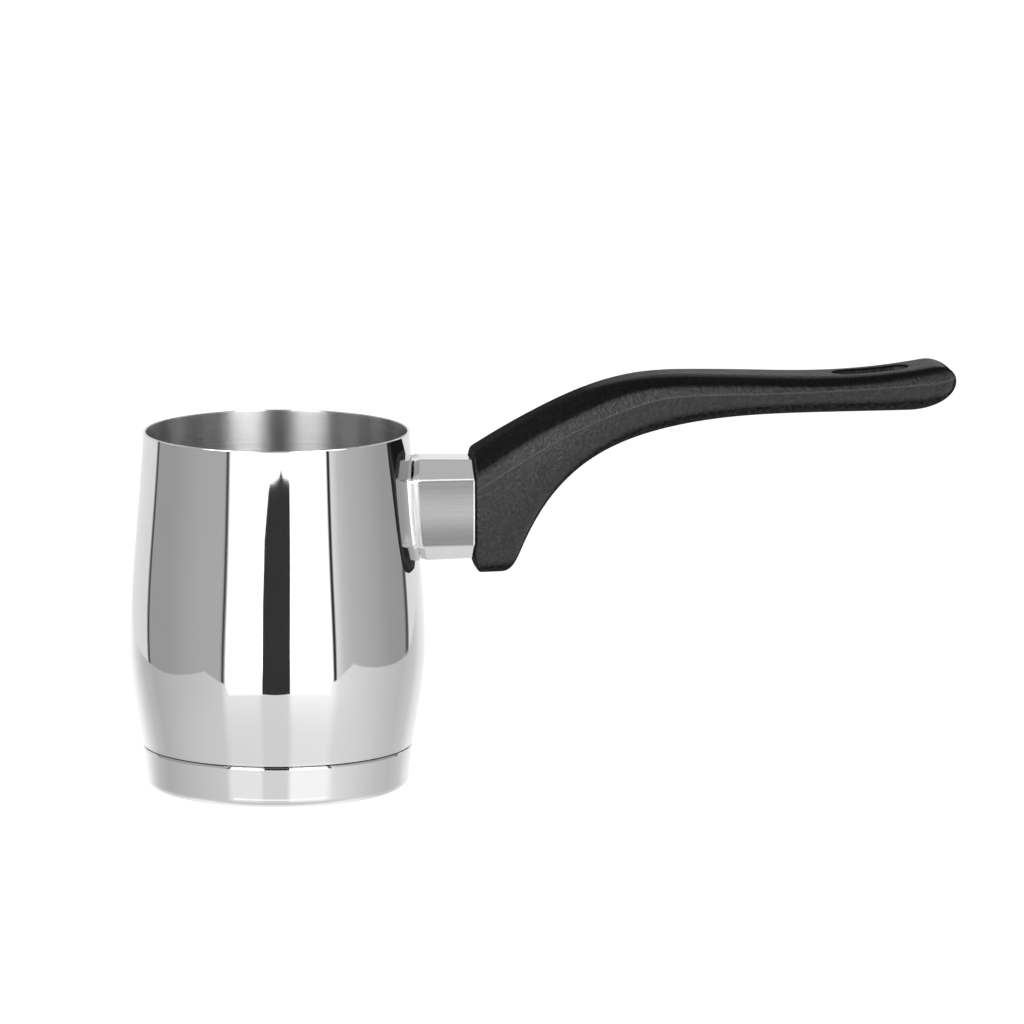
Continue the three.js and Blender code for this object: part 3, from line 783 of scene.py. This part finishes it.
# %% [markdown]
# ## The handle
# The handle is one moulding. In side view an upper and a lower curve bound it. Across, every section has
# a flat top, sloping shoulders, sides that meet at the mould's parting line and a round belly. So the
# whole handle is one grid: x along it, and a walk round the section. The widths are values at a few
# stations with smooth changes between them. The hanging slot and the screw's well are cut out after.

# %% Handle outline
FRONT = GUARD_END + GAP
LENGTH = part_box("handle")[1].x / MM - FRONT
TIP = (LENGTH, 34.15)
FOOT_LOW = -19.0
HEEL = (13.7, FOOT_LOW + 5.4)
ARCH_END = (57.9, 22.5)
UNDER_END = (LENGTH - 14.7, 26.2)
BACK_END = (62.7, 38.75)
GRIP_END = (LENGTH - 8.7, 39.95)
top_line = joined(
    curve((0, 16.8), (28.9, 18.1), (-19.5, 0.3), BACK_END, 200),
    curve(BACK_END, (29.3, -0.5), (-26.1, -4.3), GRIP_END, 200),
    curve(GRIP_END, (4.4, 0.6), (0, 3.5), TIP, 120),
)
under_line = joined(
    (0, FOOT_LOW + 4.3),
    curve((1.2, FOOT_LOW + 1.0), (0.25, -0.75), (-0.7, 0), (2.4, FOOT_LOW), 20),
    curve((8.2, FOOT_LOW), (3, 0), (-1.4, -3), HEEL, 60),
    curve(HEEL, (10.4, 24.6), (-20, -4.6), ARCH_END, 200),
    curve(ARCH_END, (19.6, 4.2), (-34.9, -0.2), UNDER_END, 200),
    curve(UNDER_END, (8.2, 0.1), (0, -3.8), TIP, 120),
)
parting_line = joined(
    curve((0, 6.4), (17, 10), (-22, -6.5), (50, 31.1), 80),
    curve((50, 31.1), (9, 2.6), (-24, -0.3), (88, 33.3), 60),
    curve((88, 33.3), (20, 0.3), (-16, -1.4), (LENGTH, 36), 60),
)
STATIONS = (0, 24, 54, 90, 130)
SHAPES = {
    "width": (12.5, 11.6, 10.9, 11, 11.6),
    "flat": (6.0, 4.6, 5.6, 6.6, 9),
    "shoulder": (5, 4, 2.6, 2.2, 2),
    "boxy": (4.5, 3.4, 2.6, 2.4, 2.4),
}


def shape_at(key, x):
    """A width value at x: between two stations it moves by 3s^2 - 2s^3, s being the share of the way."""
    values = np.array(SHAPES[key], float)
    place = np.clip(np.interp(x, STATIONS, np.arange(len(STATIONS))), 0, len(STATIONS) - 1.0001)
    before = place.astype(int)
    share = place - before
    share = share**2 * (3 - 2 * share)
    return values[before] + (values[before + 1] - values[before]) * share


print("handle outline from", round(FRONT, 1), "to", round(FRONT + LENGTH, 1), "mm")

# %% [markdown]
# The two halves of the mould leave a fine line along each side. It is a bead a twelfth of a millimetre
# high, made by moving the points close to the line outwards. The tip closes like an oval, and the front
# face has a small round all the way about.

# %% Handle skin
TIP_ROUND = 11
TIP_POWER = 2.4
FRONT_ROUND = 0.9
FLAT_REACH = 1.8
SHOULDER_REACH = 4.2
SHOULDER_INSET = 0.5
PARTING_SHARE = (0.5, 0.76)
BEAD = 0.08
BEAD_SPREAD = 0.32


def soft_corner(before, corner, after, reach, steps):
    """A corner rounded by a parabola that starts and stops a given reach from the corner."""
    def step_towards(other):
        gap = other - corner
        length = np.linalg.norm(gap, axis=-1, keepdims=True)
        return corner + gap * np.minimum(reach / np.maximum(length, 1e-9), 0.5)

    first, second = step_towards(before), step_towards(after)
    t = np.linspace(0, 1, steps)[:, None, None]
    return first * (1 - t) ** 2 + 2 * corner * t * (1 - t) + second * t**2


def parting_at(x):
    """How high the mould's parting line runs, kept well between the upper and lower curves."""
    top, low = np.interp(x, *top_line.T), np.interp(x, *under_line.T)
    share = (np.interp(x, *parting_line.T) - low) / np.maximum(top - low, 1e-6)
    return low + (top - low) * np.clip(share, *PARTING_SHARE)


def handle_grid(x):
    """Rows of (x, y, z): half a section from the middle of the top to the middle of the belly, mirrored.
    The belly is the curve (y / width)^n + (drop / depth)^n = 1, n being how boxy the section is. The bead
    adds BEAD exp(-(height off the line / spread)^2) to y."""
    top, low = np.interp(x, *top_line.T), np.interp(x, *under_line.T)
    into_tip = np.clip(1 - (LENGTH - x) / TIP_ROUND, 0, 1)
    narrowing = np.sqrt(1 - into_tip**TIP_POWER)
    width = shape_at("width", x) * narrowing
    flat = shape_at("flat", x) * narrowing
    parting = parting_at(x)
    shoulder = top - np.minimum(shape_at("shoulder", x), (top - parting) * 0.7)
    inner_width = np.maximum(width - SHOULDER_INSET * narrowing, flat)
    middle, flat_edge = np.stack([0 * x, top], 1), np.stack([flat, top], 1)
    shoulder_edge, side = np.stack([inner_width, shoulder], 1), np.stack([width, parting], 1)
    t = np.linspace(0, 1, 8)[:-1, None, None]
    crown = middle + (flat_edge - middle) * t * 0.8
    upper = np.concatenate([
        crown,
        soft_corner(middle, flat_edge, shoulder_edge, FLAT_REACH, 10),
        soft_corner(flat_edge, shoulder_edge, side, SHOULDER_REACH, 14),
    ])
    t = 1 - (1 - np.linspace(0, 1, 16)[1:-1, None, None]) ** 1.7
    climb = upper[-1] + (side - upper[-1]) * t
    boxy = shape_at("boxy", x)
    even = np.sin(np.linspace(0, math.pi / 2, 40))[:, None] ** (2 / boxy)
    near_line = np.linspace(0.01, 0.12, 12)[:, None] + 0 * boxy
    drop = np.sort(np.concatenate([even, near_line]), axis=0)
    belly = np.stack([width * (1 - drop**boxy) ** (1 / boxy), parting - (parting - low) * drop], 2)
    half = np.concatenate([upper, climb, belly])
    bead = BEAD * np.exp(-(((half[..., 1] - parting) / BEAD_SPREAD) ** 2)) * np.clip(half[..., 0] / 5, 0, 1)
    half[..., 0] += bead * (1 - into_tip)
    mirrored = half[-2:0:-1] * (-1, 1)
    section = np.concatenate([half, mirrored]).transpose(1, 0, 2)
    into_front = np.clip(1 - x / FRONT_ROUND, 0, 1)
    pinch = FRONT_ROUND * (1 - np.sqrt(1 - into_front**2))
    centre = np.stack([0 * x, (top + low) / 2], 1)[:, None]
    spread = section - centre
    size = np.abs(spread).max(1, keepdims=True)
    section = centre + spread * (1 - pinch[:, None, None] / np.maximum(size, 1))
    return np.concatenate([np.broadcast_to(x[:, None, None], (*section.shape[:2], 1)), section], 2)


BEND_START, BEND_STOP = 13.5, 34
rows = np.concatenate([
    FRONT_ROUND * (1 - np.cos(np.linspace(0, math.pi / 2, 8)))[:-1],
    np.linspace(FRONT_ROUND, BEND_START, 36)[:-1],
    np.linspace(BEND_START, BEND_STOP, 80)[:-1],
    np.linspace(BEND_STOP, LENGTH - TIP_ROUND, 90)[:-1],
    LENGTH - TIP_ROUND * (1 - np.sin(np.linspace(0, math.pi / 2, 34)[:-1])),
    [LENGTH - 0.01],
])
grid = handle_grid(rows)
grid += (FRONT, 0, AXIS_HEIGHT)
handle = skin("handle_moulding", grid)
print("handle skin of", grid.shape[0], "sections with", grid.shape[1], "points")

# %% [markdown]
# Holes are the one thing that a single grid can't have, so they are cut with Boolean modifiers. The slot's
# cutter is itself a grid: a stadium outline whose sides flare out like a quarter round at the top and at
# the bottom, following the handle's own two curves. So the cut leaves soft moulded lips, not sharp ones.

# %% Cutters
SLOT_LENGTH = 21.2
SLOT_WIDTH = 7.6
SLOT_TO_TIP = 15.0
LIP = 1.3
SLOT_OVERRUN = 3.0


def stadium(length, width, count):
    """A long round-ended outline: two half circles and the straight runs between them."""
    radius = width / 2
    run = length / 2 - radius
    right = arc((run, 0), radius, -90, 90, count)
    left = arc((-run, 0), radius, 90, 270, count)
    top_run = np.linspace(right[-1], left[0], count)[1:-1]
    low_run = np.linspace(left[-1], right[0], count)[1:-1]
    return np.vstack([right, top_run, left, low_run])


def slot_cutter():
    """Rows down the cutter: a swell sideways by LIP (1 - sin q) while the depth is LIP (1 - cos q)."""
    middle = LENGTH - SLOT_TO_TIP - SLOT_LENGTH / 2
    core = stadium(SLOT_LENGTH, SLOT_WIDTH, 20)
    outward = core - np.sign(core[:, :1]) * (SLOT_LENGTH - SLOT_WIDTH) / 2 * np.array([[1, 0]])
    inner = np.abs(core[:, 0]) < (SLOT_LENGTH - SLOT_WIDTH) / 2
    outward[inner, 0] = 0
    outward /= np.linalg.norm(outward, axis=1)[:, None]
    q = np.radians(np.linspace(12, 90, 10))
    swell, depth = LIP * (1 - np.sin(q)), LIP * (1 - np.cos(q))
    depth -= depth[0]
    levels = [(swell[0], -SLOT_OVERRUN)] + list(zip(swell, depth))
    rings = []
    for line, side, steps in ((top_line, -1, levels), (under_line, 1, levels[::-1])):
        for grow, drop in steps:
            flat = core + outward * grow
            x = middle + flat[:, 0]
            rings.append(np.stack([x, flat[:, 1], np.interp(x, *line.T) + side * drop], 1))
    return np.array(rings) + (FRONT, 0, AXIS_HEIGHT)


def rod_along_x(radius, start, stop, columns=64):
    """A plain rod on the guard's axis."""
    turns = np.linspace(0, 2 * math.pi, columns, endpoint=False)
    section = np.stack([0 * turns, radius * np.cos(turns), radius * np.sin(turns)], 1)
    return np.array([section + (x, 0, 0) for x in (start, stop)]) + (FRONT, 0, AXIS_HEIGHT)


def cut(piece, cutter, operation="DIFFERENCE"):
    """Applies one Boolean and removes its cutter."""
    modifier = piece.modifiers.new("cut", "BOOLEAN")
    modifier.object = cutter
    modifier.operation = operation
    modifier.solver = "EXACT"
    graph = bpy.context.evaluated_depsgraph_get()
    result = bpy.data.meshes.new_from_object(piece.evaluated_get(graph))
    piece.modifiers.clear()
    piece.data = result
    bpy.data.objects.remove(cutter)


print("slot cutter of", len(slot_cutter()), "rings")

# %% [markdown]
# A short eight-sided spigot on the front face fits inside the guard, so it is joined on. Then the slot,
# the screw's bore and the wide well for its head are cut away.

# %% Spigot, slot and screw well
SEAT_DEPTH = 6.7
BORE_RADIUS = 2.85
WELL_RADIUS = 5.0
WELL_END = 40
SPIGOT = (-3.0, 1.5)
BORE_START = -4
spigot_ring = octagon(GUARD_WALL + GAP)
spigot = np.array([np.insert(spigot_ring, 0, x, 1) for x in SPIGOT])
cut(handle, skin("spigot_tool", spigot + (FRONT, 0, AXIS_HEIGHT)), "UNION")
cut(handle, skin("slot_tool", slot_cutter()))
cut(handle, skin("bore_tool", rod_along_x(BORE_RADIUS, BORE_START, SEAT_DEPTH + 1)))
cut(handle, skin("well_tool", rod_along_x(WELL_RADIUS, SEAT_DEPTH, WELL_END)))
smooth(handle, 32)
print("handle cut to", len(handle.data.vertices), "points")

# %% [markdown]
# The parting line's ridge is painted a shade paler than the skin: a painted highlight. The cuts have
# changed the mesh, so the line is found again from each point's own place and kept as an attribute, which
# the finish reads.

# %% Parting line mark
places = np.zeros(len(handle.data.vertices) * 3)
handle.data.vertices.foreach_get("co", places)
x, y, z = places.reshape(-1, 3).T / MM
off_line = (z - AXIS_HEIGHT - parting_at(x - FRONT)) / BEAD_SPREAD
OUTSIDE_SLOT = 4.5
on_skin = (np.abs(y) > OUTSIDE_SLOT) & (x > FRONT + 0.5)
line_highlight = handle.data.attributes.new("flash_line", "FLOAT", "POINT")
line_highlight.data.foreach_set("value", (np.exp(-(off_line**2)) * on_skin).astype(np.float32))
settle(handle, "black_phenolic", "handle")

# %% [markdown]
# ## Finishes
# Polished steel is a mirror with the faintest wheel marks, which show only where a light's edge is
# reflected. The flame guard is pressed from thinner, duller sheet and is only brushed, so it shows soft
# patches of light; its upright flats and the faces that look down carry painted shade, and its edges a
# painted highlight. The pot's inside is left brushed by a spinning pad: thousands of fine rings.

# %% Mirror steel
def metal(bench, colour, rough, bump, **more):
    """The Principled shader of a bare metal, linked to the output."""
    finish_with(bench, bench.node("ShaderNodeBsdfPrincipled", {}, {
        "Base Color": colour, "Metallic": 1.0, "Roughness": rough, "Normal": bump, **more,
    }))


def bump_of(bench, strength, distance, height):
    sockets = {"Strength": strength, "Distance": distance, "Height": height}
    return bench.node("ShaderNodeBump", {}, sockets)


def parts_of(bench, vector):
    """The x, y and z wires of a vector."""
    first = bench.node("ShaderNodeSeparateXYZ", {}, {0: vector})
    return [first.output(axis) for axis in "XYZ"]


def polished_steel(name):
    made, bench = material(name)
    here = bench.place()
    marks = bench.noise(bench.place((60, 60, 2400)), 1, 4, 0.6)
    smears = bench.noise(here, 28, 3)
    colour = bench.mix(smears, (0.685, 0.685, 0.69, 1), (0.715, 0.715, 0.72, 1))
    rough = 0.012 + smears * 0.02 + marks * 0.012
    metal(bench, colour, rough, bump_of(bench, 0.02, 0.00001, marks))
    return made


pot.data.materials.append(polished_steel("mirror_steel_pot"))
print("mirror finish on", pot.name)

# %% [markdown]
# The guard's two upright flats are painted a dark steel where they face the eye, a painted shade, and are
# a little rougher than the rest. Faces that look down are painted somewhat darker, also painted shade. Its
# marked edges are painted a pale steel, a painted highlight, and are rougher, so they blur what they
# mirror.

# %% Brushed guard
def brushed_guard():
    made, bench = material("brushed_guard")
    y = parts_of(bench, bench.node("ShaderNodeTexCoord", output="Object"))[1]
    on_side = bench.step(y.maths("ABSOLUTE"), 0.01195, 0.01215)
    lines = bench.noise(bench.place((60, 2400, 2400)), 1, 4, 0.6)
    smears = bench.noise(bench.place(), 60, 3)
    bright = bench.mix(lines, (0.66, 0.66, 0.665, 1), (0.72, 0.72, 0.725, 1))
    painted_shade_steel = bench.mix(lines, (0.172, 0.172, 0.174, 1), (0.222, 0.222, 0.224, 1))
    slant = bench.node("ShaderNodeLayerWeight", {}, {"Blend": 0.5}, "Facing")
    painted_highlight = bench.node("ShaderNodeAttribute", {"attribute_name": "buffed_edge"}, output="Fac")
    # Painted shade: the upright flats take the dark steel where they face the eye, except on the marked
    # edges.
    flat_shade_share = on_side * bench.step(slant, 0.2, 0.06) * bench.step(painted_highlight, 0.6, 0.4)
    up = parts_of(bench, bench.node("ShaderNodeNewGeometry", output="Normal"))[2]
    # Painted shade: faces that look down are also mixed part of the way towards the dark steel.
    colour = bench.mix(flat_shade_share + 0.35 * bench.step(up, -0.2, -0.6), bright, painted_shade_steel)
    # Painted highlight: the marked edges are painted a pale steel.
    colour = bench.mix(painted_highlight, colour, (0.93, 0.93, 0.935, 1))
    rough = 0.05 + smears * 0.05 + lines * 0.03 + on_side * 0.02 + painted_highlight * 0.2
    metal(bench, colour, rough, bump_of(bench, 0.1, 0.00001, lines * (1 - painted_highlight)))
    return made


cap.data.materials.append(polished_steel("mirror_steel_base"))
guard.data.materials.append(brushed_guard())
print("steel finishes on", cap.name, "and", guard.name)

# %% [markdown]
# Rings round the axis are noise that is stretched along them: it changes slowly with x and y, and fast
# with radius plus height, which grows all the way up the wall and out over the floor. The shader's own
# anisotropy then spreads light across the rings, up and down the wall.

# %% Brushed inside
def brushed_inside():
    made, bench = material("brushed_inside")
    x, y, z = parts_of(bench, bench.node("ShaderNodeTexCoord", output="Object"))
    lane = (x * x + y * y) ** 0.5 + z
    narrow = bench.node("ShaderNodeCombineXYZ", {}, {0: x * 40, 1: y * 40, 2: lane * 3600})
    wide = bench.node("ShaderNodeCombineXYZ", {}, {0: x * 25, 1: y * 25, 2: lane * 900})
    fine = bench.noise(narrow, 1, 3, 0.65)
    broad = bench.noise(wide, 1, 2)
    colour = bench.mix(fine, (0.37, 0.37, 0.375, 1), (0.50, 0.50, 0.505, 1))
    rough = 0.27 + fine * 0.06 + broad * 0.04
    across_rings = {"Anisotropic": 1.0, "Anisotropic Rotation": 0.25}
    metal(bench, colour, rough, bump_of(bench, 0.2, 0.0002, fine + broad), **across_rings)
    return made


pot.data.materials.append(brushed_inside())
print("brushed finish inside", pot.name)

# %% [markdown]
# The phenolic moulding is near black, with a satin skin that carries a fine leathery stipple from the
# mould, and paler specks of the wood flour it is filled with. Two shaders of one colour are mixed: a satin
# one and a matt one with almost no gloss, whose share is worked out from which way the skin faces. The matt
# one paints shade under the belly, on the shoulders, near the guard and along grazing edges, and on the
# shoulders the specks are painted fainter, also painted shade.

# %% Phenolic
BLACKEST = (0.002, 0.002, 0.0022, 1)
SPECK_GREY = (0.026, 0.026, 0.0265, 1)
PARTING_HIGHLIGHT_GREY = (0.065, 0.065, 0.067, 1)
ROOT_END, ROOT_START = 0.125, 0.080


def matt_shade_share(bench, up, shoulder):
    """The share of the matt shader, which paints shade, from the upward part of the normal and from the
    angle of view.
    """
    slant = bench.node("ShaderNodeLayerWeight", {}, {"Blend": 0.5}, "Facing")
    from_pot = parts_of(bench, bench.place())[0]
    root = bench.step(from_pot, ROOT_END, ROOT_START)
    belly = bench.step(up, -0.3, -0.75)
    rim = bench.step(slant, 0.5, 0.8) * bench.step(up, 0.93, 0.8)
    share = belly + shoulder * 0.95 + rim + 0.2 * bench.step(up, 0.03, -0.03)
    return share + 0.6 * root * bench.step(up, -0.05, 0.4) + 0.25 * bench.step(up, 0.9, 0.99)


def black_phenolic():
    made, bench = material("black_phenolic")
    here = bench.place()
    up = parts_of(bench, bench.node("ShaderNodeNewGeometry", output="Normal"))[2]
    shoulder = bench.step(up, 0.28, 0.72) * bench.step(up, 0.985, 0.87)
    stipple = bench.noise(here, 900, 3, 0.6)
    cloud = bench.noise(here, 200, 3)
    speck = bench.step(bench.noise(here, 1500, 2, 0.5), 0.58, 0.72)
    line_highlight = bench.node("ShaderNodeAttribute", {"attribute_name": "flash_line"}, output="Fac")
    # Painted shade: the pale stipple and specks are faded on the shoulders.
    pale = (bench.step(stipple, 0.42, 0.62) * 0.6 + speck * 0.4) * (1 - 0.7 * shoulder)
    # Painted highlight: a paler grey along the parting line.
    colour = bench.mix(line_highlight * 0.8, bench.mix(pale, BLACKEST, SPECK_GREY), PARTING_HIGHLIGHT_GREY)
    bump = bump_of(bench, 0.8, 0.001, stipple + cloud * 0.5)
    satin = bench.node("ShaderNodeBsdfPrincipled", {}, {
        "Base Color": colour, "Roughness": 0.28 + stipple * 0.16 + cloud * 0.08, "IOR": 1.6, "Normal": bump,
    })
    matt = bench.node("ShaderNodeBsdfPrincipled", {}, {
        "Base Color": colour, "Roughness": 0.9, "Specular IOR Level": 0.1, "Normal": bump,
    })
    # Painted shade: the matt copy takes over under the belly, on the shoulders, near the guard and at
    # grazing edges.
    share = matt_shade_share(bench, up, shoulder)
    finish_with(bench, bench.node("ShaderNodeMixShader", {}, {0: share, 1: satin, 2: matt}))
    return made


handle.data.materials.clear()
handle.data.materials.append(black_phenolic())
print("phenolic on", handle.name)

# %% [markdown]
# The hidden pieces keep their CAD shapes: the disc, the bracket with its nut, and the screw with its
# washers. They get plain shop finishes.

# %% Hidden pieces
def shop_metal(name, dark, light, rough, grain):
    made, bench = material(name)
    here = bench.place()
    fine = bench.noise(bench.place((1, 0.15, 1)), grain, 3, 0.6)
    stain = bench.noise(here, 90, 2)
    colour = bench.mix(fine * 0.6 + stain * 0.4, (*dark, 1), (*light, 1))
    metal(bench, colour, rough + fine * 0.15, bump_of(bench, 0.3, 0.0002, fine))
    return made


aluminium = shop_metal("rolled_aluminium", (0.70, 0.71, 0.72), (0.82, 0.83, 0.84), 0.35, 1500)
pressed = shop_metal("pressed_steel", (0.46, 0.46, 0.47), (0.62, 0.62, 0.63), 0.32, 1200)
zinc = shop_metal("zinc_plate", (0.60, 0.60, 0.58), (0.72, 0.72, 0.69), 0.25, 1000)
SHOP_FINISHES = {
    "heat_disc": aluminium,
    "handle_bracket": pressed,
    "weld_nut": pressed,
    "handle_screw": zinc,
    "plain_washer": zinc,
    "spring_washer": zinc,
}
for node, paint in SHOP_FINISHES.items():
    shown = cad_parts[node]
    shown.data.materials.clear()
    shown.data.materials.append(paint)
print("hidden pieces:", ", ".join(SHOP_FINISHES))

# %% Measure the visual box
visual_box = [list(corner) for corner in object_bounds()]
print("visual box in metres:", [[round(value, 4) for value in corner] for corner in visual_box])
